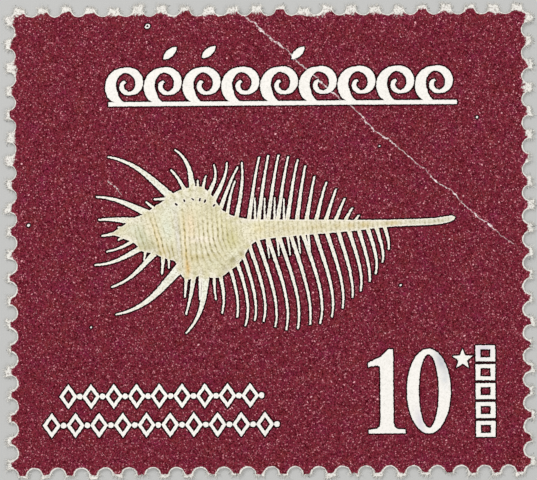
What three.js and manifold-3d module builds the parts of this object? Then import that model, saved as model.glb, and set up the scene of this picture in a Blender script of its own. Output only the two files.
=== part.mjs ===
// A perforated postage stamp: one piece of gummed, printed paper, with a crease
// across its upper right corner. Lengths are in millimetres. X runs across the
// print, Y runs up it and Z points out of its printed face. The origin is under
// the middle of the stamp, on the surface that the gummed back rests on.

import * as THREE from 'three';
import { mergeVertices } from 'three/addons/utils/BufferGeometryUtils.js';
import Module from 'manifold-3d';

// Perforation: a gauge is the number of holes in 20 mm. The holes of the four
// rows share one hole at each corner.
const gaugeSpan = 20;
const gaugeAcross = 13.5;
const gaugeDown = 13.75;
const pitchesAcross = 22;
const pitchesDown = 20;
const holeRadius = 0.46;
const tipOverhang = 0.08; // a torn tooth reaches this far past the row of hole centres
const arcDivisions = 4; // half the number of chords in each hole's arc

// Paper
const paperThickness = 0.11;
const inkColor = 0x762d39;
const inkRoughness = 0.7;

// Crease: a straight fold from the top edge to the right edge, pressed flat again
const creaseTopX = -1.9;
const creaseRightY = -1.2;
const creaseHeight = 0.12;
const creaseHalfWidth = 1.3;
const creaseReach = 60; // the bent slab runs this far past the paper on every side

const width = (pitchesAcross * gaugeSpan) / gaugeAcross;
const height = (pitchesDown * gaugeSpan) / gaugeDown;
const overhangAngle = Math.asin(tipOverhang / holeRadius);

// The four edges in the order of a walk with the paper on the left, each with its
// direction, its number of pitches and the corner that it starts from.
const edges = [
  { angle: 0, pitches: pitchesAcross, length: width, start: [-width / 2, -height / 2] },
  { angle: Math.PI / 2, pitches: pitchesDown, length: height, start: [width / 2, -height / 2] },
  { angle: Math.PI, pitches: pitchesAcross, length: width, start: [width / 2, height / 2] },
  { angle: -Math.PI / 2, pitches: pitchesDown, length: height, start: [-width / 2, height / 2] },
];

// Each hole bites an arc out of the outline, and a straight tooth tip joins it to
// the next. A corner's hole is shared by two edges, so its arc is shorter.
function perforatedOutline() {
  const outline = new THREE.Shape();
  for (const { angle, pitches, length, start } of edges) {
    for (let hole = 0; hole < pitches; hole++) {
      const along = (length * hole) / pitches;
      const x = start[0] + along * Math.cos(angle);
      const y = start[1] + along * Math.sin(angle);
      const turn = hole === 0 ? Math.PI / 2 : Math.PI;
      outline.absarc(x, y, holeRadius, angle + turn + overhangAngle, angle - overhangAngle, true);
    }
  }
  return outline;
}

// The perforated outline as an upright block, tall enough to hold the crease.
function blankBlock() {
  const depth = paperThickness + creaseHeight;
  return new THREE.ExtrudeGeometry(perforatedOutline(), {
    depth: 3 * depth,
    curveSegments: arcDivisions,
    bevelEnabled: false,
  }).translate(0, 0, -depth);
}

// A slab one paper thick, flat apart from the low ridge of the crease.
function creasedSlab() {
  const crossing = new THREE.Vector3(creaseTopX, height / 2, 0);
  const along = new THREE.Vector3(width / 2, creaseRightY, 0).sub(crossing).normalize();
  const up = new THREE.Vector3(0, 0, 1);
  const across = new THREE.Vector3().crossVectors(up, along);

  const under = [
    [-creaseReach, 0],
    [-creaseHalfWidth, 0],
    [0, creaseHeight],
    [creaseHalfWidth, 0],
    [creaseReach, 0],
  ];
  const over = under.map(([s, z]) => [s, z + paperThickness]).reverse();
  const section = new THREE.Shape([...under, ...over].map(([s, z]) => new THREE.Vector2(s, z)));

  return new THREE.ExtrudeGeometry(section, { depth: 2 * creaseReach, bevelEnabled: false })
    .translate(0, 0, -creaseReach)
    .applyMatrix4(new THREE.Matrix4().makeBasis(across, up, along).setPosition(crossing));
}

const wasm = await Module();
wasm.setup();

function solidFrom(geometry) {
  const bare = geometry.clone();
  bare.deleteAttribute('normal');
  bare.deleteAttribute('uv');
  const merged = mergeVertices(bare);
  return new wasm.Manifold(new wasm.Mesh({
    numProp: 3,
    vertProperties: new Float32Array(merged.attributes.position.array),
    triVerts: new Uint32Array(merged.index.array),
  }));
}

function geometryFrom(solid) {
  const { vertProperties, triVerts } = solid.getMesh();
  const geometry = new THREE.BufferGeometry();
  geometry.setAttribute('position', new THREE.BufferAttribute(vertProperties, 3));
  geometry.setIndex(new THREE.BufferAttribute(triVerts, 1));
  geometry.computeVertexNormals();
  return geometry;
}

const sheet = solidFrom(creasedSlab()).intersect(solidFrom(blankBlock()));
const stamp = new THREE.Mesh(
  geometryFrom(sheet),
  new THREE.MeshStandardMaterial({ color: inkColor, roughness: inkRoughness, metalness: 0 }),
);
stamp.name = 'stamp';

const model = new THREE.Group();
model.add(stamp);

export default model;
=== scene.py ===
import math

import bpy
from mathutils import Matrix, Vector, noise
from mathutils.geometry import delaunay_2d_cdt
from mathutils.kdtree import KDTree


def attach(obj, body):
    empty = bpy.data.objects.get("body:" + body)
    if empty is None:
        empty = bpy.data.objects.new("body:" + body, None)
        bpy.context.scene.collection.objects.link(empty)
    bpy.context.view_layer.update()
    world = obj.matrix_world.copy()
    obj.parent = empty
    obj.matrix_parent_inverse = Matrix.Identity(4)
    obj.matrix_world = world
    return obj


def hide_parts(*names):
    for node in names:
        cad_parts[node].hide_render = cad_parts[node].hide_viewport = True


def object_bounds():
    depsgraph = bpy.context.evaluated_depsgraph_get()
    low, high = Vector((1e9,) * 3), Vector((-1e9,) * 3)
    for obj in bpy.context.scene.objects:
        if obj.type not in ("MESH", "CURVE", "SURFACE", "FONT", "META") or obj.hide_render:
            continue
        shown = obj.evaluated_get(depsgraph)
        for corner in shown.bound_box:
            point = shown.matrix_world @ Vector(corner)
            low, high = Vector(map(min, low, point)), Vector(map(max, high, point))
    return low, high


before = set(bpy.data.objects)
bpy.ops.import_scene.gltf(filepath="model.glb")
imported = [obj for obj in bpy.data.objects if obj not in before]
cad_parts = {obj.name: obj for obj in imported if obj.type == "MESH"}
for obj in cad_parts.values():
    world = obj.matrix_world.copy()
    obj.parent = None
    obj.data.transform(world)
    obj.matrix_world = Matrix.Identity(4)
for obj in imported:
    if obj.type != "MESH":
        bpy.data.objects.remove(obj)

cadLow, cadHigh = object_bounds()
mm = 0.001

# everything is drawn in millimetres about the middle of the stamp, and scaled once it is a mesh
perforation = {
    "pitchesAcross": 22,
    "pitchesDown": 20,
    "pinRadius": 0.46,
    "pinWander": 0.022,
    "pinRoughness": 0.07,
    "rowShift": 0.045,  # the top and bottom rows of pins lie this much further out than in the CAD
    "overhang": 0.08,  # how far the torn teeth pass the line of pins, as in the CAD
    "growth": 0.03,  # how much further they reach on average once they are torn
    "tear": 0.6,
    "thickness": 0.11,
    "outlineStep": 0.035,
    "pinSides": 44,
    "seed": 4,
}
stampWidth = (cadHigh.x - cadLow.x) / mm - 2 * perforation["overhang"]
stampHeight = (cadHigh.y - cadLow.y) / mm - 2 * perforation["overhang"]


def srgb(red, green, blue):
    # a colour given in 0 to 255, as the linear values that sockets want
    def linear(value):
        value /= 255
        return value / 12.92 if value <= 0.04045 else ((value + 0.055) / 1.055) ** 2.4

    return (linear(red), linear(green), linear(blue), 1.0)


def smoothStep(low, high, value):
    t = min(1.0, max(0.0, (value - low) / (high - low)))
    return t * t * (3 - 2 * t)


def addNode(tree, kind, links=None, **settings):
    node = tree.nodes.new(kind)
    for name, value in settings.items():
        setattr(node, name, value)
    for name, value in (links or {}).items():
        if isinstance(value, bpy.types.NodeSocket):
            tree.links.new(value, node.inputs[name])
        else:
            node.inputs[name].default_value = value
    return node


def maths(tree, operation, first, second=0.0, third=0.0):
    links = {0: first, 1: second}
    if operation in ("MULTIPLY_ADD", "SMOOTH_MIN"):
        links[2] = third
    return addNode(tree, "ShaderNodeMath", links, operation=operation).outputs[0]


def newTree(name, kind, inputs, outputs):
    tree = bpy.data.node_groups.new(name, kind)
    for socketName, socketKind, value in inputs:
        socket = tree.interface.new_socket(socketName, in_out="INPUT", socket_type="NodeSocket" + socketKind)
        if value is not None:
            socket.default_value = value
    for socketName, socketKind in outputs:
        tree.interface.new_socket(socketName, in_out="OUTPUT", socket_type="NodeSocket" + socketKind)
    given = tree.nodes.new("NodeGroupInput").outputs
    result = tree.nodes.new("NodeGroupOutput").inputs
    return tree, given, result


def meshFromTree(name, tree, values, startMesh=None):
    # runs a geometry tree on a mesh and keeps the result as a plain mesh
    holder = bpy.data.objects.new(name, startMesh or bpy.data.meshes.new(name + "Start"))
    bpy.context.scene.collection.objects.link(holder)
    modifier = holder.modifiers.new(name, "NODES")
    modifier.node_group = tree
    for item in tree.interface.items_tree:
        if item.in_out == "INPUT" and item.name in values:
            modifier[item.identifier] = values[item.name]
    graph = bpy.context.evaluated_depsgraph_get()
    mesh = bpy.data.meshes.new_from_object(holder.evaluated_get(graph))
    bpy.data.objects.remove(holder)
    mesh.name = name
    return mesh


def blankTree():
    tree, given, result = newTree("perforatedBlank", "GeometryNodeTree", [
        ("Width", "Float", 10.0), ("Height", "Float", 10.0),
        ("Pitches Across", "Int", 10), ("Pitches Down", "Int", 10),
        ("Pin Radius", "Float", 0.4), ("Pin Sides", "Int", 32), ("Pin Wander", "Float", 0.0),
        ("Pin Roughness", "Float", 0.0), ("Pin Spread", "Vector", (1, 1, 1)),
        ("Overhang", "Float", 0.1), ("Tear", "Float", 0.1), ("Outline Step", "Float", 0.1),
        ("Thickness", "Float", 0.1), ("Seed", "Int", 0), ("Material", "Material", None),
    ], [("Mesh", "Geometry")])

    # a pin at every border point of a grid, one pitch apart
    across = addNode(tree, "ShaderNodeMath", {0: given["Pitches Across"], 1: 1.0}, operation="ADD").outputs[0]
    down = addNode(tree, "ShaderNodeMath", {0: given["Pitches Down"], 1: 1.0}, operation="ADD").outputs[0]
    grid = addNode(tree, "GeometryNodeMeshGrid", {
        "Size X": given["Width"], "Size Y": given["Height"], "Vertices X": across, "Vertices Y": down})
    faces = addNode(tree, "GeometryNodeInputMeshVertexNeighbors").outputs["Face Count"]
    inner = maths(tree, "COMPARE", faces, 4.0, 0.0)
    border = addNode(tree, "GeometryNodeDeleteGeometry", {"Geometry": grid.outputs["Mesh"], "Selection": inner})
    wander = addNode(tree, "ShaderNodeCombineXYZ", {"X": given["Pin Wander"], "Y": given["Pin Wander"]})
    jitter = addNode(tree, "FunctionNodeRandomValue", {1: wander.outputs[0], "Seed": given["Seed"]},
                     data_type="FLOAT_VECTOR")
    spread = addNode(tree, "GeometryNodeTransform", {
        "Geometry": border.outputs["Geometry"], "Scale": given["Pin Spread"]})
    spots = addNode(tree, "GeometryNodeSetPosition", {
        "Geometry": spread.outputs["Geometry"], "Offset": jitter.outputs[0]})
    pin = addNode(tree, "GeometryNodeMeshCylinder", {
        "Vertices": given["Pin Sides"], "Radius": given["Pin Radius"],
        "Depth": maths(tree, "MULTIPLY", given["Thickness"], 6.0)})
    pins = addNode(tree, "GeometryNodeInstanceOnPoints", {
        "Points": spots.outputs["Geometry"], "Instance": pin.outputs["Mesh"]})
    pins = addNode(tree, "GeometryNodeRealizeInstances", {"Geometry": pins.outputs["Instances"]})

    def raggedBy(scales, amount):
        # a sideways shift from noise of two sizes, the same at every height
        place = addNode(tree, "ShaderNodeVectorMath", {
            0: addNode(tree, "GeometryNodeInputPosition").outputs[0], 1: (1.0, 1.0, 0.0)}, operation="MULTIPLY").outputs[0]
        slow, fast = [addNode(tree, "ShaderNodeTexNoise", {
            "Vector": place, "Scale": scale, "Detail": detail, "Roughness": 0.7, "W": given["Seed"]},
            noise_dimensions="4D").outputs["Color"] for scale, detail in scales]
        both = addNode(tree, "ShaderNodeVectorMath", {0: slow, 1: fast}, operation="ADD").outputs[0]
        centred = addNode(tree, "ShaderNodeVectorMath", {0: both, 1: (1.0, 1.0, 1.0)}, operation="SUBTRACT").outputs[0]
        shift = addNode(tree, "ShaderNodeVectorMath", {0: centred, "Scale": amount}, operation="SCALE").outputs[0]
        return addNode(tree, "ShaderNodeVectorMath", {0: shift, 1: (1.0, 1.0, 0.0)}, operation="MULTIPLY").outputs[0]

    pins = addNode(tree, "GeometryNodeSetPosition", {
        "Geometry": pins.outputs[0], "Offset": raggedBy(((2.5, 0.0), (7.0, 1.0)), given["Pin Roughness"])})

    # the sheet's outline, torn a little further out on one tooth than on the next
    reach = maths(tree, "MULTIPLY", given["Overhang"], 2.0)
    outline = addNode(tree, "GeometryNodeCurvePrimitiveQuadrilateral", {
        "Width": maths(tree, "ADD", given["Width"], reach),
        "Height": maths(tree, "ADD", given["Height"], reach)})
    outline = addNode(tree, "GeometryNodeResampleCurve", {
        "Curve": outline.outputs["Curve"], "Length": given["Outline Step"]}, mode="LENGTH")
    tangent = addNode(tree, "ShaderNodeSeparateXYZ", {0: addNode(tree, "GeometryNodeInputTangent").outputs[0]})
    across = addNode(tree, "ShaderNodeCombineXYZ", {
        "X": maths(tree, "ABSOLUTE", tangent.outputs["Y"]), "Y": maths(tree, "ABSOLUTE", tangent.outputs["X"])})
    torn = addNode(tree, "ShaderNodeVectorMath", {
        0: raggedBy(((1.1, 0.0), (6.0, 3.0)), given["Tear"]), 1: across.outputs[0]}, operation="MULTIPLY").outputs[0]
    outline = addNode(tree, "GeometryNodeSetPosition", {"Geometry": outline.outputs["Curve"], "Offset": torn})
    under = addNode(tree, "GeometryNodeFillCurve", {"Curve": outline.outputs["Geometry"]}, mode="NGONS")
    lift = addNode(tree, "ShaderNodeCombineXYZ", {"Z": given["Thickness"]}).outputs[0]
    raised = addNode(tree, "GeometryNodeExtrudeMesh", {
        "Mesh": under.outputs["Mesh"], "Offset": lift, "Offset Scale": 1.0, "Individual": False})
    turned = addNode(tree, "GeometryNodeFlipFaces", {"Mesh": under.outputs["Mesh"]})
    slab = tree.nodes.new("GeometryNodeJoinGeometry")
    for part in (raised.outputs["Mesh"], turned.outputs["Mesh"]):
        tree.links.new(part, slab.inputs[0])
    slab = addNode(tree, "GeometryNodeMergeByDistance", {"Geometry": slab.outputs[0], "Distance": 0.0001})

    punched = addNode(tree, "GeometryNodeMeshBoolean", {
        "Mesh 1": slab.outputs["Geometry"], "Mesh 2": pins.outputs["Geometry"]},
        operation="DIFFERENCE", solver="EXACT")
    whole = addNode(tree, "GeometryNodeRealizeInstances", {"Geometry": punched.outputs["Mesh"]})
    painted = addNode(tree, "GeometryNodeSetMaterial", {
        "Geometry": whole.outputs["Geometry"], "Material": given["Material"]})
    tree.links.new(painted.outputs["Geometry"], result[0])
    return tree


def perforatedOutline(material):
    blank = meshFromTree("perforatedBlank", blankTree(), {
        "Width": stampWidth, "Height": stampHeight,
        "Pitches Across": perforation["pitchesAcross"], "Pitches Down": perforation["pitchesDown"],
        "Pin Radius": perforation["pinRadius"], "Pin Sides": perforation["pinSides"],
        "Pin Wander": perforation["pinWander"], "Pin Roughness": perforation["pinRoughness"],
        "Pin Spread": (1.0, 1 + 2 * perforation["rowShift"] / stampHeight, 1.0), "Overhang": perforation["overhang"] + perforation["growth"],
        "Tear": perforation["tear"], "Outline Step": perforation["outlineStep"],
        "Thickness": perforation["thickness"], "Seed": perforation["seed"], "Material": material,
    })
    top = max(blank.polygons, key=lambda face: face.normal.z * face.area)
    print("blank", len(blank.vertices), "points, top face", len(top.vertices), round(top.area, 1))
    return [Vector(blank.vertices[i].co[:2]) for i in top.vertices]


paintOrder = ["ground", "paper", "spine", "counter", "shell", "pit"]  # later plates cover earlier ones
inkOf = {"ground": "ground", "paper": "paper", "spine": "shell", "counter": "ground", "shell": "shell", "pit": "ground"}
raggedStep = 0.058  # ink edges wander a little over this distance
raggedDepth = 0.034
plates = []  # (place in the paint order, outline)

shell = {
    # the silhouette, from the point of the spire to the end of the canal
    "upperEdge": [(-9.8, 0.62), (-9.2, 1.0), (-8.5, 1.5), (-7.8, 1.78), (-7.2, 2.2), (-6.5, 2.65), (-5.9, 3.1),
                  (-5.1, 3.38), (-4.3, 3.45), (-3.7, 3.0), (-3.0, 2.05), (-2.3, 1.62), (-1.0, 1.38), (2.0, 1.34),
                  (6.5, 1.29), (9.5, 1.34), (10.7, 1.43), (11.42, 1.54)],
    "lowerEdge": [(-9.8, 0.48), (-9.1, 0.22), (-8.4, -0.1), (-8.0, -0.55), (-7.3, -0.7), (-6.6, -1.0), (-5.9, -1.25),
                  (-5.55, -2.05), (-5.2, -2.34), (-4.75, -2.25), (-4.35, -2.1), (-3.9, -2.18), (-3.45, -2.28),
                  (-2.95, -2.13), (-2.45, -1.78), (-2.05, -1.48), (-1.6, -0.9), (-1.15, -0.2), (-0.4, 0.12),
                  (2.0, 0.36), (5.0, 0.6), (7.4, 0.85), (9.5, 0.94), (10.5, 1.0), (11.1, 1.1), (11.5, 1.24)],
    "canalEnd": (11.6, 1.42),
    # spines of the body: root, tip, bow to the left as a share of the length, width at the root
    "spines": [
        ((-6.1, 2.8), (-10.05, 5.34), -0.078, 0.5), ((-7.5, 1.75), (-10.8, 2.85), -0.055, 0.44),
        ((-8.0, 1.25), (-10.66, 1.41), -0.03, 0.56), ((-9.4, 0.6), (-10.48, 0.41), 0.0, 0.26),
        ((-9.1, 0.9), (-9.45, 0.93), 0.0, 0.18), ((-9.1, 0.35), (-9.44, 0.16), 0.0, 0.16),
        ((-8.3, 0.2), (-10.17, -0.56), 0.05, 0.2), ((-7.9, -0.3), (-10.93, -1.4), 0.065, 0.34),
        ((-7.2, -0.7), (-9.88, -2.78), 0.07, 0.36), ((-5.5, -1.5), (-9.64, -4.5), 0.095, 0.62),
        ((-4.75, 3.1), (-5.87, 5.75), -0.12, 0.42), ((-5.2, 3.1), (-6.14, 4.5), -0.04, 0.26),
        ((-6.2, 2.72), (-7.2, 2.67), 0.0, 0.2), ((-7.2, 2.1), (-7.71, 2.51), 0.0, 0.18),
        ((-4.45, 3.2), (-4.47, 3.82), 0.0, 0.2), ((-4.2, 3.1), (-3.95, 4.11), 0.02, 0.22),
        ((-3.85, 2.85), (-3.46, 4.8), -0.12, 0.28), ((-3.5, 2.55), (-2.64, 4.92), -0.06, 0.3),
        ((-3.05, 2.1), (-1.97, 4.66), 0.02, 0.26), ((-2.65, 1.7), (-2.15, 3.75), 0.03, 0.2),
        ((-2.05, 1.5), (-1.72, 4.94), -0.04, 0.26), ((-7.74, -0.5), (-7.86, -1.11), 0.0, 0.16),
        ((-6.65, -0.9), (-6.75, -1.99), 0.0, 0.26), ((-6.3, -0.9), (-6.32, -1.62), 0.0, 0.18),
        ((-5.2, -1.9), (-5.32, -3.44), 0.0, 0.26), ((-4.7, -1.8), (-5.26, -4.51), 0.02, 0.34),
        ((-4.35, -1.8), (-4.39, -3.6), 0.0, 0.22), ((-3.95, -1.5), (-5.27, -5.69), 0.1, 0.56),
        ((-3.5, -1.7), (-3.38, -3.61), -0.02, 0.22), ((-3.2, -1.6), (-3.0, -4.46), 0.06, 0.28),
    ],
    "spineTip": 0.1,
    # dark pricks between the upper spines' roots
    "pits": [(-5.82, 2.35, -0.8), (-5.31, 2.57, -1.1), (-4.79, 2.66, -0.5), (-4.34, 2.64, 1.4), (-4.03, 2.54, 1.2),
             (-3.45, 2.27, 0.7)],
    "pitSize": (0.23, 0.13),
}

# rows of long spines along the canal; an envelope gives each one's share of the longest
combs = {
    "upperComb": {
        "Count": 12, "Root Start": (-1.3, 1.3, 0), "Root End": (5.3, 1.2, 0), "Way": 1.0, "Longest": 4.05,
        "Crowding": 0.0, "Slope": 0.13, "Slope Growth": 0.6, "Curl": -0.02, "Root Width": 0.26,
        "Tip Width": 0.11, "Seed": 3,
        "envelope": [(0, 0.96), (0.1, 1.0), (0.36, 0.93), (0.46, 0.86), (0.56, 0.68), (0.75, 0.46), (0.9, 0.22),
                     (1, 0.1)],
    },
    "upperShort": {
        "Count": 4, "Root Start": (-0.9, 1.2, 0), "Root End": (0.9, 1.2, 0), "Way": 1.0, "Longest": 1.55,
        "Crowding": 0.0, "Slope": 0.0, "Slope Growth": 0.0, "Curl": 0.0, "Root Width": 0.15,
        "Tip Width": 0.08, "Seed": 8,
        "envelope": [(0, 1), (1, 0.95)],
    },
    "lowerComb": {
        "Count": 17, "Root Start": (-3.0, -0.1, 0), "Root End": (7.15, 0.98, 0), "Way": -1.0, "Longest": 5.8,
        "Crowding": 0.03, "Slope": 0.33, "Slope Growth": -0.03, "Curl": 0.13, "Root Width": 0.26,
        "Tip Width": 0.11, "Seed": 5,
        "envelope": [(0, 0.8), (0.07, 0.88), (0.15, 0.85), (0.3, 0.98), (0.45, 0.97), (0.56, 0.91), (0.69, 0.74),
                     (0.81, 0.6), (0.9, 0.46), (1, 0.27)],
    },
    "lowerShort": {
        "Count": 5, "Root Start": (-0.2, 0.3, 0), "Root End": (2.4, 0.5, 0), "Way": -1.0, "Longest": 1.35,
        "Crowding": 0.0, "Slope": 0.12, "Slope Growth": 0.0, "Curl": 0.0, "Root Width": 0.16,
        "Tip Width": 0.08, "Seed": 9,
        "envelope": [(0, 1), (1, 0.85)],
    },
}

scroll = {
    "Count": 9, "Pitch": 2.42, "Middle": (0.87, 9.85, 0), "Outer Radius": 1.22, "Inner Radius": 0.22,
    "Start Angle": -1.62, "Turn": -8.7, "Outer Width": 0.76, "Inner Width": 0.22, "Nib Angle": 0.25,
    "Bar Height": 0.26,
}
# small leaves over some of the waves: middle, length, width, turn
leaves = [((-6.15, 11.8), 1.1, 0.46, 0.75), ((-3.73, 11.85), 1.1, 0.46, 0.7), ((1.85, 11.75), 1.1, 0.46, 0.75)]


lozenges = {
    "upperRow": {"Count": 9, "Step": (1.42, 0, 0), "Start": (-12.65, -9.62, 0), "Size": (1.12, 1.56, 1),
                 "Turn": 0.0, "Opening": 0.56, "Bead": 0.18},
    "lowerRow": {"Count": 10, "Step": (1.48, 0, 0), "Start": (-13.7, -11.42, 0), "Size": (1.12, 1.56, 1),
                 "Turn": 0.0, "Opening": 0.56, "Bead": 0.18},
    "column": {"Count": 5, "Step": (0, -1.18, 0), "Start": (13.42, -7.1, 0), "Size": (1.72, 1.4, 1),
               "Turn": math.pi / 4, "Opening": 0.52, "Bead": 0.0},
}

value = {
    "zeroMiddle": (9.87, -9.43), "zeroOuter": (1.36, 2.64), "zeroInner": (0.63, 2.3),
    "oneMiddle": 7.25, "top": -6.8, "foot": -12.05, "stem": 0.8, "serif": 2.3, "serifHeight": 0.22,
    "starMiddle": (12.0, -7.45), "starSize": 0.66,
    # grey smudges: place, reach across and along, turn, colour, strength
    "smudges": [
        ((10.65, -7.65), (0.28, 0.75), 0.35, srgb(160, 166, 178), 0.85),
        ((10.85, -8.6), (0.2, 0.6), 0.1, srgb(190, 196, 205), 0.6),
        ((9.28, -11.3), (0.2, 0.75), 0.3, srgb(190, 184, 204), 0.7),
        ((13.3, -6.95), (0.5, 0.45), 0.6, srgb(196, 184, 206), 0.75),
    ],
}

# spots that the ink missed: place, size, whether it is a ring
misprints = [(-7.54, 13.49, 0.17, True), (-15.06, 1.1, 0.1, False), (13.01, 7.67, 0.09, False),
             (-11.2, -5.3, 0.06, False), (6.9, 5.9, 0.05, False), (8.15, -2.8, 0.07, False)]


def raggedEdge(outline):
    # short steps, each shifted a little, as the edge of ink on paper is
    points = []
    for a, b in zip(outline, [*outline[1:], outline[0]]):
        parts = max(1, math.ceil((b - a).length / raggedStep))
        for i in range(parts):
            spot = a.lerp(b, i / parts)
            points.append(spot + noise.noise_vector((spot * 12).to_3d()).xy * raggedDepth)
    return points


def addPlate(layer, points):
    outline = [Vector(point[:2]) for point in points]
    turning = sum(a.cross(b) for a, b in zip(outline, [*outline[1:], outline[0]]))
    if turning < 0:
        outline.reverse()
    if abs(turning) > 0.0001:
        plates.append((paintOrder.index(layer), raggedEdge(outline)))


def edgeLoops(faces):
    # the outline of each separate patch of faces
    ways = {(a, b) for face in faces for a, b in zip(face, (*face[1:], face[0]))}
    step = {a: b for a, b in sorted(ways) if (b, a) not in ways}
    loops = []
    while step:
        start = next(iter(step))
        loop = [start]
        while step[loop[-1]] != start:
            loop.append(step[loop[-1]])
        for corner in loop:
            del step[corner]
        loops.append(loop)
    return loops


def addFlatMesh(mesh, layer=None):
    # each patch of a flat mesh is a plate, on the layer that its attribute gives
    marks = mesh.attributes.get("layer")
    layerAt = {}
    for face in mesh.polygons:
        for corner in face.vertices:
            layerAt[corner] = layer or paintOrder[marks.data[face.index].value]
    for loop in edgeLoops([tuple(face.vertices) for face in mesh.polygons]):
        addPlate(layerAt[loop[0]], [mesh.vertices[i].co for i in loop])
    bpy.data.meshes.remove(mesh)


def smoothThrough(points, step):
    # a Catmull-Rom curve through the points
    points = [Vector(point) for point in points]
    ends = [points[0] * 2 - points[1], *points, points[-1] * 2 - points[-2]]
    smooth = []
    for a, b, c, d in zip(ends, ends[1:], ends[2:], ends[3:]):
        parts = max(1, round((c - b).length / step))
        for i in range(parts):
            t = i / parts
            bend = (a - 2.5 * b + 2 * c - 0.5 * d) + (1.5 * (b - c) + 0.5 * (d - a)) * t
            smooth.append(b + ((c - a) * 0.5 + bend * t) * t)
    return [*smooth, points[-1]]


def heightAt(edge, x):
    for (x0, y0), (x1, y1) in zip(edge, edge[1:]):
        if x <= x1:
            return y0 + (y1 - y0) * max(0.0, x - x0) / (x1 - x0)
    return edge[-1][1]


def ellipse(middle, size, sides, turn=0.0):
    points = []
    for i in range(sides):
        angle = 2 * math.pi * i / sides
        x, y = size[0] * math.cos(angle), size[1] * math.sin(angle)
        points.append((middle[0] + x * math.cos(turn) - y * math.sin(turn),
                       middle[1] + x * math.sin(turn) + y * math.cos(turn)))
    return points


def spineOutline(root, tip, bow, width, tipWidth):
    root, tip = Vector(root), Vector(tip)
    run = tip - root
    side = run.orthogonal()
    steps = max(5, round(run.length / 0.14))
    left, right = [], []
    for i in range(steps + 1):
        t = i / steps
        late = t ** 1.35
        middle = root + run * t + side * bow * 4 * late * (1 - late)
        slope = run + side * bow * 4 * (1 - 2 * late) * 1.35 * t ** 0.35
        reach = slope.orthogonal().normalized() * (tipWidth + (width - tipWidth) * (1 - t) ** 1.25) / 2
        left.append(middle + reach)
        right.append(middle - reach)
    return [*left, tip + run.normalized() * tipWidth / 2, *reversed(right)]


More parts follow.
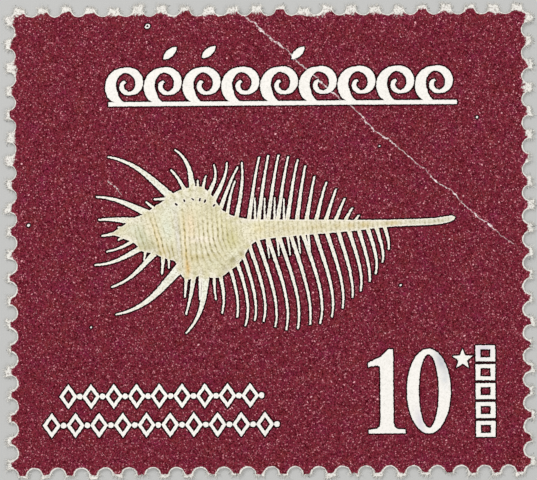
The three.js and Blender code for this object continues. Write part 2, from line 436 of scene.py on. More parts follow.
def combTree(name, envelope):
    tree, given, result = newTree(name, "GeometryNodeTree", [
        ("Count", "Int", 10), ("Root Start", "Vector", (0, 0, 0)), ("Root End", "Vector", (1, 0, 0)),
        ("Way", "Float", 1.0), ("Longest", "Float", 1.0), ("Crowding", "Float", 0.0), ("Slope", "Float", 0.0),
        ("Slope Growth", "Float", 0.0), ("Curl", "Float", 0.0), ("Root Width", "Float", 0.1),
        ("Tip Width", "Float", 0.05), ("Seed", "Int", 0), ("Material", "Material", None),
    ], [("Mesh", "Geometry")])
    line = addNode(tree, "GeometryNodeMeshLine", {
        "Count": given["Count"], "Start Location": given["Root Start"], "Offset": given["Root End"]},
        mode="END_POINTS")

    # what each spine is told: its root, its length and how far it leans
    last = maths(tree, "SUBTRACT", given["Count"], 1.0)
    place = maths(tree, "DIVIDE", addNode(tree, "GeometryNodeInputIndex").outputs[0], last)
    swing = maths(tree, "SINE", maths(tree, "MULTIPLY", place, 2 * math.pi))
    back = maths(tree, "MULTIPLY", maths(tree, "MULTIPLY", swing, given["Crowding"]), -1.0)
    run = addNode(tree, "ShaderNodeVectorMath", {0: given["Root End"], 1: given["Root Start"]},
                  operation="SUBTRACT").outputs[0]
    shift = addNode(tree, "ShaderNodeVectorMath", {0: run, "Scale": back}, operation="SCALE").outputs[0]
    root = addNode(tree, "ShaderNodeVectorMath", {
        0: addNode(tree, "GeometryNodeInputPosition").outputs[0], 1: shift}, operation="ADD").outputs[0]
    share = addNode(tree, "ShaderNodeFloatCurve", {"Value": place})
    points = share.mapping.curves[0].points
    points[0].location, points[1].location = envelope[0], envelope[-1]
    for x, y in envelope[1:-1]:
        points.new(x, y)
    share.mapping.update()
    vary = addNode(tree, "FunctionNodeRandomValue", {2: 0.97, 3: 1.03, "Seed": given["Seed"]}, data_type="FLOAT")
    length = maths(tree, "MULTIPLY", given["Longest"], share.outputs[0])
    length = maths(tree, "MULTIPLY", length, vary.outputs[1])
    lean = maths(tree, "MULTIPLY", given["Slope Growth"], maths(tree, "POWER", place, 4.0))
    sway = addNode(tree, "FunctionNodeRandomValue", {2: -0.02, 3: 0.02, "Seed": given["Seed"]}, data_type="FLOAT")
    lean = maths(tree, "ADD", maths(tree, "ADD", lean, given["Slope"]), sway.outputs[1])
    hook = addNode(tree, "FunctionNodeRandomValue", {2: 0.65, 3: 1.35, "Seed": given["Seed"]}, data_type="FLOAT")
    curl = maths(tree, "MULTIPLY", given["Curl"], hook.outputs[1])
    told = line.outputs["Mesh"]
    for attribute, kind, amount in (("root", "FLOAT_VECTOR", root), ("length", "FLOAT", length),
                                    ("lean", "FLOAT", lean), ("curl", "FLOAT", curl)):
        told = addNode(tree, "GeometryNodeStoreNamedAttribute", {
            "Geometry": told, "Name": attribute, "Value": amount}, data_type=kind, domain="POINT").outputs[0]

    # a flat strip for each, bent once it is in place
    strip = addNode(tree, "GeometryNodeMeshGrid", {
        "Size X": 1.0, "Size Y": 1.0, "Vertices X": 2, "Vertices Y": 18}).outputs["Mesh"]
    spot = addNode(tree, "GeometryNodeInputPosition").outputs[0]
    strip = addNode(tree, "GeometryNodeStoreNamedAttribute", {
        "Geometry": strip, "Name": "strip", "Value": spot}, data_type="FLOAT_VECTOR", domain="POINT").outputs[0]
    strips = addNode(tree, "GeometryNodeInstanceOnPoints", {"Points": told, "Instance": strip}).outputs[0]
    strips = addNode(tree, "GeometryNodeRealizeInstances", {"Geometry": strips}).outputs[0]

    def named(attribute, kind):
        return addNode(tree, "GeometryNodeInputNamedAttribute", {"Name": attribute}, data_type=kind).outputs[0]

    onStrip = addNode(tree, "ShaderNodeSeparateXYZ", {0: named("strip", "FLOAT_VECTOR")}).outputs
    along = maths(tree, "ADD", onStrip["Y"], 0.5)
    taper = maths(tree, "POWER", maths(tree, "SUBTRACT", 1.0, along), 1.2)
    width = maths(tree, "SUBTRACT", given["Root Width"], given["Tip Width"])
    width = maths(tree, "ADD", maths(tree, "MULTIPLY", width, taper), given["Tip Width"])
    curl = maths(tree, "MULTIPLY", named("curl", "FLOAT"), maths(tree, "POWER", along, 4.0))
    bend = maths(tree, "SUBTRACT", maths(tree, "MULTIPLY", named("lean", "FLOAT"), along), curl)
    sideways = maths(tree, "ADD", maths(tree, "MULTIPLY", bend, named("length", "FLOAT")),
                     maths(tree, "MULTIPLY", onStrip["X"], width))
    upward = maths(tree, "MULTIPLY", maths(tree, "MULTIPLY", along, named("length", "FLOAT")), given["Way"])
    reach = addNode(tree, "ShaderNodeCombineXYZ", {"X": sideways, "Y": upward}).outputs[0]
    goal = addNode(tree, "ShaderNodeVectorMath", {0: named("root", "FLOAT_VECTOR"), 1: reach}, operation="ADD")
    bent = addNode(tree, "GeometryNodeSetPosition", {"Geometry": strips, "Position": goal.outputs[0]}).outputs[0]
    whole = addNode(tree, "GeometryNodeRealizeInstances", {"Geometry": bent}).outputs[0]
    inked = addNode(tree, "GeometryNodeSetMaterial", {"Geometry": whole, "Material": given["Material"]})
    tree.links.new(inked.outputs[0], result[0])
    return tree


def scrollTree():
    tree, given, result = newTree("waveScroll", "GeometryNodeTree", [
        ("Count", "Int", 5), ("Pitch", "Float", 1.0), ("Middle", "Vector", (0, 0, 0)),
        ("Outer Radius", "Float", 1.0), ("Inner Radius", "Float", 0.2), ("Start Angle", "Float", 0.0),
        ("Turn", "Float", -6.0), ("Outer Width", "Float", 0.5), ("Inner Width", "Float", 0.2),
        ("Nib Angle", "Float", 0.0), ("Bar Height", "Float", 0.3), ("Material", "Material", None),
    ], [("Mesh", "Geometry")])

    # one wave: a strip wound into a spiral that narrows as it turns in
    strip = addNode(tree, "GeometryNodeMeshGrid", {
        "Size X": 1.0, "Size Y": 1.0, "Vertices X": 2, "Vertices Y": 64}).outputs["Mesh"]
    onStrip = addNode(tree, "ShaderNodeSeparateXYZ", {0: addNode(tree, "GeometryNodeInputPosition").outputs[0]})
    along = maths(tree, "ADD", onStrip.outputs["Y"], 0.5)

    def fade(outer, inner, power):
        span = maths(tree, "SUBTRACT", given[outer], given[inner])
        rest = maths(tree, "POWER", maths(tree, "SUBTRACT", 1.0, along), power)
        return maths(tree, "ADD", maths(tree, "MULTIPLY", span, rest), given[inner])

    # the stroke swells where a broad nib would, and rises from the bar as a point
    angle = maths(tree, "MULTIPLY_ADD", along, given["Turn"], given["Start Angle"])
    nib = maths(tree, "ABSOLUTE", maths(tree, "COSINE", maths(tree, "SUBTRACT", angle, given["Nib Angle"])))
    stroke = maths(tree, "MULTIPLY", fade("Outer Width", "Inner Width", 1.0), maths(tree, "MULTIPLY_ADD", nib, 0.5, 0.5))
    start = maths(tree, "MINIMUM", maths(tree, "MULTIPLY_ADD", along, 9.0, 0.1), 1.0)
    half = maths(tree, "MULTIPLY", onStrip.outputs["X"], maths(tree, "MULTIPLY", stroke, start))
    radius = maths(tree, "ADD", fade("Outer Radius", "Inner Radius", 0.9), half)
    wound = addNode(tree, "ShaderNodeCombineXYZ", {
        "X": maths(tree, "MULTIPLY", radius, maths(tree, "COSINE", angle)),
        "Y": maths(tree, "MULTIPLY", radius, maths(tree, "SINE", angle))}).outputs[0]
    wave = addNode(tree, "GeometryNodeSetPosition", {"Geometry": strip, "Position": wound}).outputs[0]

    gaps = maths(tree, "SUBTRACT", given["Count"], 1.0)
    length = maths(tree, "MULTIPLY", gaps, given["Pitch"])
    step = addNode(tree, "ShaderNodeCombineXYZ", {"X": given["Pitch"]}).outputs[0]
    first = addNode(tree, "ShaderNodeCombineXYZ", {"X": maths(tree, "MULTIPLY", length, -0.5)}).outputs[0]
    line = addNode(tree, "GeometryNodeMeshLine", {
        "Count": given["Count"], "Start Location": first, "Offset": step}, mode="OFFSET").outputs[0]
    waves = addNode(tree, "GeometryNodeInstanceOnPoints", {"Points": line, "Instance": wave}).outputs[0]

    # the bar that they stand on
    bar = addNode(tree, "GeometryNodeMeshGrid", {
        "Size X": maths(tree, "ADD", length, given["Pitch"]), "Size Y": given["Bar Height"],
        "Vertices X": 2, "Vertices Y": 2}).outputs["Mesh"]
    drop = maths(tree, "MULTIPLY", given["Outer Radius"], -1.0)
    lowered = addNode(tree, "GeometryNodeTransform", {
        "Geometry": bar, "Translation": addNode(tree, "ShaderNodeCombineXYZ", {"Y": drop}).outputs[0]}).outputs[0]
    joined = tree.nodes.new("GeometryNodeJoinGeometry")
    for part in (waves, lowered):
        tree.links.new(part, joined.inputs[0])
    whole = addNode(tree, "GeometryNodeRealizeInstances", {"Geometry": joined.outputs[0]}).outputs[0]
    placed = addNode(tree, "GeometryNodeTransform", {"Geometry": whole, "Translation": given["Middle"]}).outputs[0]
    inked = addNode(tree, "GeometryNodeSetMaterial", {"Geometry": placed, "Material": given["Material"]})
    tree.links.new(inked.outputs[0], result[0])
    return tree


def lozengeTree():
    tree, given, result = newTree("lozengeRow", "GeometryNodeTree", [
        ("Count", "Int", 5), ("Step", "Vector", (1, 0, 0)), ("Start", "Vector", (0, 0, 0)),
        ("Size", "Vector", (1, 1, 1)), ("Turn", "Float", 0.0), ("Opening", "Float", 0.5), ("Bead", "Float", 0.1),
        ("Material", "Material", None),
    ], [("Mesh", "Geometry")])

    turn = addNode(tree, "ShaderNodeCombineXYZ", {"Z": given["Turn"]}).outputs[0]

    def flatShape(sides, radius, layer, scale=None, move=None):
        shape = addNode(tree, "GeometryNodeMeshCircle", {"Vertices": sides, "Radius": radius},
                        fill_type="NGON").outputs[0]
        turned = addNode(tree, "GeometryNodeTransform", {"Geometry": shape, "Rotation": turn}).outputs[0]
        links = {"Geometry": turned}
        if scale:
            links["Scale"] = scale
        if move:
            links["Translation"] = move
        placed = addNode(tree, "GeometryNodeTransform", links).outputs[0]
        return addNode(tree, "GeometryNodeStoreNamedAttribute", {
            "Geometry": placed, "Name": "layer", "Value": paintOrder.index(layer)},
            data_type="INT", domain="FACE").outputs[0]

    halfStep = addNode(tree, "ShaderNodeVectorMath", {0: given["Step"], "Scale": 0.5}, operation="SCALE").outputs[0]
    cell = tree.nodes.new("GeometryNodeJoinGeometry")
    for part in (flatShape(4, 0.5, "paper", scale=given["Size"]),
                 flatShape(4, maths(tree, "MULTIPLY", given["Opening"], 0.5), "counter", scale=given["Size"]),
                 flatShape(12, given["Bead"], "paper", move=halfStep)):
        tree.links.new(part, cell.inputs[0])
    line = addNode(tree, "GeometryNodeMeshLine", {
        "Count": given["Count"], "Start Location": given["Start"], "Offset": given["Step"]}, mode="OFFSET")
    row = addNode(tree, "GeometryNodeInstanceOnPoints", {
        "Points": line.outputs[0], "Instance": cell.outputs[0]}).outputs[0]
    whole = addNode(tree, "GeometryNodeRealizeInstances", {"Geometry": row}).outputs[0]
    inked = addNode(tree, "GeometryNodeSetMaterial", {"Geometry": whole, "Material": given["Material"]})
    tree.links.new(inked.outputs[0], result[0])
    return tree


def plateShell():
    upper = smoothThrough(shell["upperEdge"], 0.1)
    lower = smoothThrough(shell["lowerEdge"], 0.1)
    addPlate("shell", [*upper, shell["canalEnd"], *reversed(lower)])
    for root, tip, bow, width in shell["spines"]:
        addPlate("spine", spineOutline(root, tip, bow, width, shell["spineTip"]))
    for x, y, turn in shell["pits"]:
        addPlate("pit", ellipse((x, y), [size / 2 for size in shell["pitSize"]], 10, turn))


def plateCombs(material):
    for name, comb in combs.items():
        values = {key: amount for key, amount in comb.items() if key != "envelope"}
        tree = combTree(name, comb["envelope"])
        addFlatMesh(meshFromTree(name, tree, {**values, "Material": material}), "spine")


def plateOrnaments(material):
    addFlatMesh(meshFromTree("waveScroll", scrollTree(), {**scroll, "Material": material}), "paper")
    tree = lozengeTree()
    for name, row in lozenges.items():
        addFlatMesh(meshFromTree(name, tree, {**row, "Material": material}))


def plateLeaves():
    for middle, length, width, turn in leaves:
        points = []
        for i in range(24):
            angle = 2 * math.pi * i / 24
            x, y = length / 2 * math.cos(angle), width / 2 * math.copysign(abs(math.sin(angle)) ** 1.6, math.sin(angle))
            points.append((middle[0] + x * math.cos(turn) - y * math.sin(turn),
                           middle[1] + x * math.sin(turn) + y * math.cos(turn)))
        addPlate("paper", points)


def plateValue():
    middle, top, foot = value["oneMiddle"], value["top"], value["foot"]
    stem, serif = value["stem"] / 2, value["serif"] / 2
    ledge = foot + value["serifHeight"]
    # a plain figure one: a serif, a stem with curved brackets, and a flag
    addPlate("paper", [
        (middle - serif, foot), (middle + serif, foot), (middle + serif, ledge),
        (middle + stem + 0.22, ledge + 0.06), (middle + stem + 0.05, ledge + 0.2), (middle + stem, ledge + 0.5),
        (middle + stem, top), (middle + stem - 0.3, top), (middle - 0.35, top - 0.45), (middle - serif, top - 0.85),
        (middle - serif, top - 1.1), (middle - stem - 0.2, top - 1.0), (middle - stem, top - 1.1),
        (middle - stem, ledge + 0.5), (middle - stem - 0.05, ledge + 0.2), (middle - stem - 0.22, ledge + 0.06),
        (middle - serif, ledge)])
    addPlate("paper", ellipse(value["zeroMiddle"], value["zeroOuter"], 90))
    addPlate("counter", ellipse(value["zeroMiddle"], value["zeroInner"], 70))
    star = []
    for i in range(10):
        radius = value["starSize"] * (1 if i % 2 == 0 else 0.42)
        angle = math.pi / 2 + math.pi * i / 5
        x, y = value["starMiddle"]
        star.append((x + radius * math.cos(angle), y + radius * math.sin(angle)))
    addPlate("paper", star)


def plateMisprints():
    for x, y, size, isRing in misprints:
        addPlate("paper", ellipse((x, y), (size, size * 0.8), 12, 0.5))
        if isRing:
            addPlate("counter", ellipse((x, y), (size * 0.5, size * 0.42), 9, 0.5))


sheet = {
    "foldFrom": (-1.9, stampHeight / 2),
    "foldTo": (stampWidth / 2, -1.2),
    "foldBow": 0.1,
    "foldHeight": 0.118,
    "foldHalfWidth": 1.3,
    "cockle": 0.02,
    "toothLift": 0.08,
    "tornThinning": 0.5,
    "rimReach": 0.15,
    "topBare": 0.4,
    "sideBare": 0.16,
    "leastBare": 0.12,
    "lipBare": 0.08,
    "gridStep": 0.28,
    "shellStep": 0.085,
    "backStep": 0.4,
    "leastGap": 0.04,
}
foldStart = Vector(sheet["foldFrom"])
foldRun = Vector(sheet["foldTo"]) - foldStart
upperCurve = smoothThrough(shell["upperEdge"], 0.1)
lowerCurve = smoothThrough(shell["lowerEdge"], 0.1)


def foldOffset(x, y):
    # how far a point lies from the fold, which bows a little towards the picture
    reach = Vector((x, y)) - foldStart
    along = reach.dot(foldRun) / foldRun.length_squared
    return reach.cross(foldRun.normalized()) - 4 * sheet["foldBow"] * along * (1 - along)


def pinDistance(x, y):
    column = stampWidth / perforation["pitchesAcross"]
    top = stampHeight / 2 + perforation["rowShift"]
    row = 2 * top / perforation["pitchesDown"]
    nearX = round((x + stampWidth / 2) / column) * column - stampWidth / 2
    nearY = round((y + top) / row) * row - top
    toRows = math.hypot(x - nearX, abs(y) - top)
    toColumns = math.hypot(abs(x) - stampWidth / 2, y - nearY)
    return min(toRows, toColumns)


def tipDistance(x, y):
    reach = perforation["overhang"]
    return min(stampWidth / 2 + reach - abs(x), stampHeight / 2 + reach - abs(y))


def alongTop(x, y):
    # whether the nearest edge is the top or the bottom one
    return stampHeight / 2 - abs(y) < stampWidth / 2 - abs(x)


def wearAt(x, y):
    # 0 at a torn or punched edge, and past 0.6 where the ink is whole; it tore furthest off the upper left teeth
    high = smoothStep(-6.0, 8.0, y) * smoothStep(17.5, 15.5, x)
    least = sheet["leastBare"] if y < 0 and alongTop(x, y) else sheet["sideBare"]
    bare = least + (sheet["topBare"] - least) * high
    bare *= 1 + 0.9 * noise.noise(Vector((x * 0.8, y * 0.8, 1)))
    torn = (tipDistance(x, y) + 0.04) / bare * 0.6
    lip = sheet["lipBare"] * (1 - 0.45 * high)
    return max(0.0, min((pinDistance(x, y) - perforation["pinRadius"]) / lip * 0.6, torn, 3.0))


def undersideHeight(x, y):
    rise = max(0.0, 1 - abs(foldOffset(x, y)) / sheet["foldHalfWidth"]) ** 1.3
    cockle = sheet["cockle"] * (1 + noise.noise(Vector((x, y, 0)) * 0.11)) * (1 - rise)
    tooth = noise.noise(Vector((x * 0.9, y * 0.9, 5))) * (1 - smoothStep(0.0, 1.0, tipDistance(x, y)))
    return sheet["foldHeight"] * rise + cockle + sheet["toothLift"] * max(0.0, tooth) * (1 - rise)


def faceHeight(x, y):
    torn = 1 - smoothStep(0.0, 0.3, tipDistance(x, y))
    ragged = 0.7 + 0.6 * noise.noise(Vector((x, y, 9)) * 5)
    return undersideHeight(x, y) + perforation["thickness"] * (1 - sheet["tornThinning"] * torn * ragged)


def honeycomb(step, low, high):
    rise = step * math.sqrt(3) / 2
    for row in range(int((high[1] - low[1]) / rise) + 1):
        for column in range(int((high[0] - low[0]) / step) + 1):
            yield Vector((low[0] + (column + row % 2 / 2) * step, low[1] + row * rise))


def treeOf(points):
    tree = KDTree(len(points))
    for i, point in enumerate(points):
        tree.insert(point.to_3d(), i)
    tree.balance()
    return tree


def clearOf(points, taken, gap):
    tree = treeOf(taken)
    return [point for point in points if tree.find(point.to_3d())[2] > gap]


def thinned(points, gap):
    # drops each point that is too close to an earlier one
    cells = {}
    kept = []
    for point in points:
        column, row = math.floor(point.x / gap), math.floor(point.y / gap)
        near = (other for i in (-1, 0, 1) for j in (-1, 0, 1) for other in cells.get((column + i, row + j), ()))
        if all((point - other).length > gap for other in near):
            cells.setdefault((column, row), []).append(point)
            kept.append(point)
    return kept


def onSheet(point, margin):
    return pinDistance(*point) > perforation["pinRadius"] + margin and tipDistance(*point) > 0.12 + margin


def insideShell(x, y):
    return lowerCurve[0][0] < x < 11.6 and heightAt(lowerCurve, x) < y < heightAt(upperCurve, x)


def cutAlong(outline, shapes, points):
    # triangles of the sheet, each with the ink of the uppermost plate over it
    corners = list(outline)
    loops = [list(range(len(outline)))]
    for order, plate in shapes:
        loops.append(list(range(len(corners), len(corners) + len(plate))))
        corners.extend(plate)
    corners.extend(points)
    spots, edges, faces, spotFrom, edgeFrom, faceFrom = delaunay_2d_cdt(corners, [], loops, 1, 1e-6, True)
    kept, inks = [], []
    for face, sources in zip(faces, faceFrom):
        if 0 in sources:
            layers = [shapes[source - 1][0] for source in sources if source]
            kept.append(tuple(face))
            inks.append(inkOf[paintOrder[max(layers, default=0)]])
    return spots, kept, inks


def borderSamples(spots, faces, inks, step):
    # spots along the edges between inked ground and a light part of the print, and the way across each
    sides = {}
    for face, ink in zip(faces, inks):
        for a, b in zip(face, (*face[1:], face[0])):
            sides.setdefault((min(a, b), max(a, b)), set()).add(ink == "ground")
    samples = []
    for (a, b), tones in sides.items():
        if len(tones) == 2:
            run = spots[b] - spots[a]
            parts = max(1, math.ceil(run.length / step))
            samples.extend((spots[a] + run * i / parts, run.orthogonal().normalized()) for i in range(parts))
    return samples


# the rows of points lie beside a border, and go round the tips where it turns sharply
rimWays = [(-1, 0), (1, 0), (-0.7, -0.7), (-0.7, 0.7), (0.7, -0.7), (0.7, 0.7), (0, -1), (0, 1)]


def frontFace(outline):
    # two passes: the first finds the print's borders, and the second has fine rows beside them
    spots, faces, inks = cutAlong(outline, plates, [])
    border = borderSamples(spots, faces, inks, 0.09)
    reach = sheet["rimReach"]
    middles = [spot for spot, across in border]
    rows = [spot + (across * beside + across.orthogonal() * ahead) * reach
            for beside, ahead in rimWays for spot, across in border]
    rows = thinned(clearOf(rows, middles, 0.08), 0.085)
    hem = []
    for a, b in zip(outline[::2], [*outline[2::2], outline[0]]):
        inward = (b - a).orthogonal().normalized()
        hem.extend([(a + b) / 2 + inward * 0.07, (a + b) / 2 + inward * 0.19])
    hem = clearOf(thinned(hem, 0.06), [*outline, *middles], sheet["leastGap"])
    fine = [point for point in honeycomb(sheet["shellStep"], (-9.9, -2.3), (11.7, 3.6)) if insideShell(*point)]
    fine = clearOf(fine, [*middles, *rows], sheet["shellStep"] * 0.6)
    low = (-stampWidth / 2, -stampHeight / 2)
    high = (stampWidth / 2, stampHeight / 2)
    coarse = [point for point in honeycomb(sheet["gridStep"], low, high) if onSheet(point, 0.1)]
    coarse = clearOf(coarse, [*middles, *rows, *hem, *fine], sheet["gridStep"] * 0.55)
    spots, faces, inks = cutAlong(outline, plates, [*rows, *hem, *fine, *coarse])
    tree = treeOf([spot for spot, across in borderSamples(spots, faces, inks, 0.04)])
    rims = [max(0.0, 1 - tree.find(spot.to_3d())[2] / reach) for spot in spots]
    return spots, faces, inks, rims


def backFace(outline):
    low = (-stampWidth / 2, -stampHeight / 2)
    high = (stampWidth / 2, stampHeight / 2)
    grid = [point for point in honeycomb(sheet["backStep"], low, high) if onSheet(point, 0.1)]
    spots, faces, inks = cutAlong(outline, [], grid)
    return spots, faces


# colours of the printed shell: a base, then soft washes laid over it, and columns of dashes
shellInks = {
    "base": srgb(230, 223, 192),
    "shade": srgb(206, 199, 164),
    "white": srgb(255, 250, 244),
    "spine": srgb(236, 236, 222),
    "rib": srgb(190, 186, 140),
    "dab": srgb(202, 178, 110),
    "canalEnd": srgb(190, 190, 168),
    # place, reach across and along, turn, colour, strength
    "washes": [
        ((-6.0, 2.2), (0.9, 0.5), 0.6, srgb(232, 232, 216), 0.8),
        ((-8.5, 0.85), (0.7, 0.35), 0.3, srgb(232, 230, 212), 0.8),
        ((-8.0, 0.2), (0.5, 0.8), 0.2, srgb(186, 194, 164), 0.8),
        ((-6.95, -0.45), (1.1, 0.36), -0.25, srgb(172, 166, 124), 0.75),
        ((-4.6, 2.75), (1.2, 0.4), 0.0, srgb(232, 228, 208), 0.7),
        ((-3.6, 2.1), (0.5, 0.4), -0.6, srgb(204, 198, 164), 0.5),
        ((-2.75, 0.5), (0.8, 1.2), 0.0, srgb(202, 196, 154), 0.55),
        ((-3.5, -0.3), (1.3, 0.3), 0.0, srgb(194, 188, 148), 0.5),
        ((-2.1, -0.75), (0.55, 0.5), 0.5, srgb(246, 244, 224), 0.95),
        ((-1.4, 0.65), (0.5, 0.6), 0.0, srgb(242, 236, 214), 0.75),
        ((3.6, 0.85), (2.6, 0.5), 0.07, srgb(204, 194, 142), 0.8),
        ((6.9, 1.05), (1.7, 0.5), 0.0, srgb(202, 190, 140), 0.75),
        ((-7.55, 0.9), (0.3, 0.6), 0.3, srgb(238, 228, 204), 0.7),
        ((-7.0, 0.3), (0.16, 1.1), 0.28, srgb(228, 206, 148), 0.85),
        ((-6.65, -0.65), (0.34, 0.32), 0.3, srgb(198, 174, 100), 0.9),
        ((-6.16, -0.6), (0.24, 0.36), 0.3, srgb(172, 162, 112), 0.9),
        ((-6.4, 0.85), (0.4, 0.9), 0.15, srgb(228, 232, 214), 0.85),
        ((-5.75, 0.3), (0.16, 2.0), 0.1, srgb(220, 216, 206), 0.9),
        ((-5.33, 0.4), (0.13, 1.3), 0.08, srgb(222, 202, 146), 0.85),
        ((-5.14, -1.6), (0.16, 0.65), 0.05, srgb(230, 188, 118), 0.95),
        ((-5.25, -0.75), (0.25, 0.22), 0.0, srgb(206, 178, 100), 0.85),
        ((-4.68, -0.98), (0.25, 0.25), 0.0, srgb(206, 190, 128), 0.8),
        ((-4.95, 1.0), (0.3, 0.9), 0.05, srgb(242, 220, 186), 0.8),
        ((-4.3, 0.15), (0.8, 0.2), 0.0, srgb(253, 240, 230), 0.7),
        ((-4.1, -0.92), (1.0, 0.2), 0.05, srgb(180, 166, 104), 0.7),
        ((-4.1, -0.64), (1.0, 0.08), 0.05, srgb(244, 240, 218), 0.6),
        ((-3.0, 1.2), (0.6, 0.6), 0.0, srgb(228, 222, 182), 0.7),
        ((-2.4, 0.1), (0.45, 0.7), 0.3, srgb(202, 196, 138), 0.85),
        ((-2.3, -1.15), (0.28, 0.2), 0.6, srgb(140, 132, 70), 0.95),
        ((-2.8, -1.7), (0.17, 0.3), 0.5, srgb(144, 132, 70), 0.95),
        ((-1.78, -0.73), (0.18, 0.18), 0.0, srgb(156, 142, 80), 0.95),
        ((-1.35, -0.35), (0.2, 0.2), 0.0, srgb(196, 186, 130), 0.7),
        ((-3.5, -1.35), (0.6, 0.4), -0.3, srgb(214, 212, 180), 0.7),
        ((-0.7, 0.8), (0.45, 0.35), 0.0, srgb(238, 228, 184), 0.8),
        ((11.3, 1.4), (0.4, 0.3), 0.0, srgb(246, 238, 236), 0.8),
    ],
    # where the ribs and their dashes are strong: place, reach across and along, turn, strength
    "ribbed": [
        ((-5.35, 0.1), (0.25, 1.5), 0.08, 0.9), ((-6.95, 0.3), (0.3, 1.4), 0.3, 0.8),
        ((-6.3, -0.6), (0.45, 0.5), 0.3, 0.9), ((-3.6, 0.4), (1.2, 1.1), 0.0, 0.9),
        ((-4.2, -0.9), (1.0, 0.5), 0.0, 0.45), ((-8.0, 0.2), (0.5, 0.7), 0.0, 0.5),
    ],
    "leastRibbed": 0.15,
    "canalRibbed": 0.4,
}


def washAt(x, y, middle, reach, turn):
    dx, dy = x - middle[0], y - middle[1]
    across = (dx * math.cos(turn) + dy * math.sin(turn)) / reach[0]
    along = (dy * math.cos(turn) - dx * math.sin(turn)) / reach[1]
    return math.exp(-across * across - along * along)


def blend(first, second, share):
    return [a + (b - a) * share for a, b in zip(first, second)]


def shellColour(x, y):
    # its fourth value says how strongly the ribs show
    upper, lower = heightAt(upperCurve, x), heightAt(lowerCurve, x)
    beyond = max(y - upper, lower - y, lowerCurve[0][0] - x, x - upperCurve[-1][0])
    if beyond > 0:
        return [*blend(shellInks["base"], shellInks["spine"], smoothStep(-0.1, 0.4, beyond))[:3], 0.0]
    canal = smoothStep(-1.6, -0.6, x)
    grain = noise.noise(Vector((x * 1.6, y * 1.6, 2)))
    colour = blend(shellInks["base"], shellInks["shade"], 0.3 + 0.4 * grain)
    for middle, reach, turn, tint, strength in shellInks["washes"]:
        colour = blend(colour, tint, strength * washAt(x, y, middle, reach, turn))
    ribbed = min(1.0, shellInks["leastRibbed"] + sum(part[3] * washAt(x, y, *part[:3]) for part in shellInks["ribbed"]))

    # ribs run out from the body to the roots of its spines
    angle = math.atan2(y - 0.5, x + 4.6)
    edge = 1 - smoothStep(0.0, 0.75, -beyond)
    rib = 0.5 + 0.5 * math.sin(angle * 26 + 2 * math.sin(angle * 3))
    colour = blend(colour, shellInks["white"], 0.5 * edge * rib)
    colour = blend(colour, shellInks["rib"], 0.4 * edge * (1 - rib) * (1 - canal))

    # the canal: dabs of brown along its middle, grey-green towards its end
    middle = (upper + lower) / 2
    wave = 0.5 + 0.5 * math.sin(x * 5.2 + 2.2 * math.sin(x * 1.3))
    dab = math.exp(-((y - middle) / 0.17) ** 2) * wave * (1 - smoothStep(7.6, 8.6, x))
    colour = blend(colour, shellInks["dab"], canal * dab * (0.3 + 0.45 * smoothStep(3.5, 5.5, x)))
    colour = blend(colour, shellInks["canalEnd"], 0.6 * smoothStep(7.0, 10.5, x))
    colour = blend(colour, shellInks["white"], 0.5 * canal * (1 - smoothStep(0.0, 0.13, -beyond)))
    ribbed += (shellInks["canalRibbed"] - ribbed) * canal
    return [*colour[:3], ribbed * smoothStep(0.0, 0.1, -beyond)]


def paperColour(x, y):
    colour = paperLook["bare"]
    for middle, reach, turn, tint, strength in value["smudges"]:
        colour = blend(colour, tint, strength * washAt(x, y, middle, reach, turn))
    return [*colour[:3], 0.0]


bakeMap = {
    "frontShare": 0.8,
    "backShare": 0.28,
    "edge": 0.005,
    "stripStart": 0.815,
    "stripLength": 0.175,
    "stripPitch": 0.012,
    "stripHeight": 0.006,
}


def mapOnto(x, y, share, cornerU, cornerV):
    scale = share / (stampWidth + 2 * perforation["overhang"])
    reach = perforation["overhang"]
    u = cornerU + (x + stampWidth / 2 + reach) * scale
    v = cornerV + (y + stampHeight / 2 + reach) * scale
    return u, v


def wallMap(loop, spots):
    # where each step of the wall lies on the map: short strips, one above the other
    scale = bakeMap["frontShare"] / stampWidth
    places = []
    start, strip = 0.0, 0
    for a, b in zip(loop, [*loop[1:], loop[0]]):
        length = (spots[b] - spots[a]).length * scale
        if start + length > bakeMap["stripLength"]:
            start, strip = 0.0, strip + 1
        left = bakeMap["stripStart"] + start
        bottom = bakeMap["edge"] + strip * bakeMap["stripPitch"]
        places.append((left, left + length, bottom, bottom + bakeMap["stripHeight"]))
        start += length
    return places


def printTints(spots, faces, inks):
    # the printed colour at each corner, as the light part of the print around it has it
    inkAt = {}
    for face, ink in zip(faces, inks):
        if ink != "ground":
            inkAt.update(dict.fromkeys(face, ink))
    picture = {"shell": shellColour, "paper": paperColour}
    return [picture[inkAt[i]](*spot) if i in inkAt else [1.0] * 4 for i, spot in enumerate(spots)]


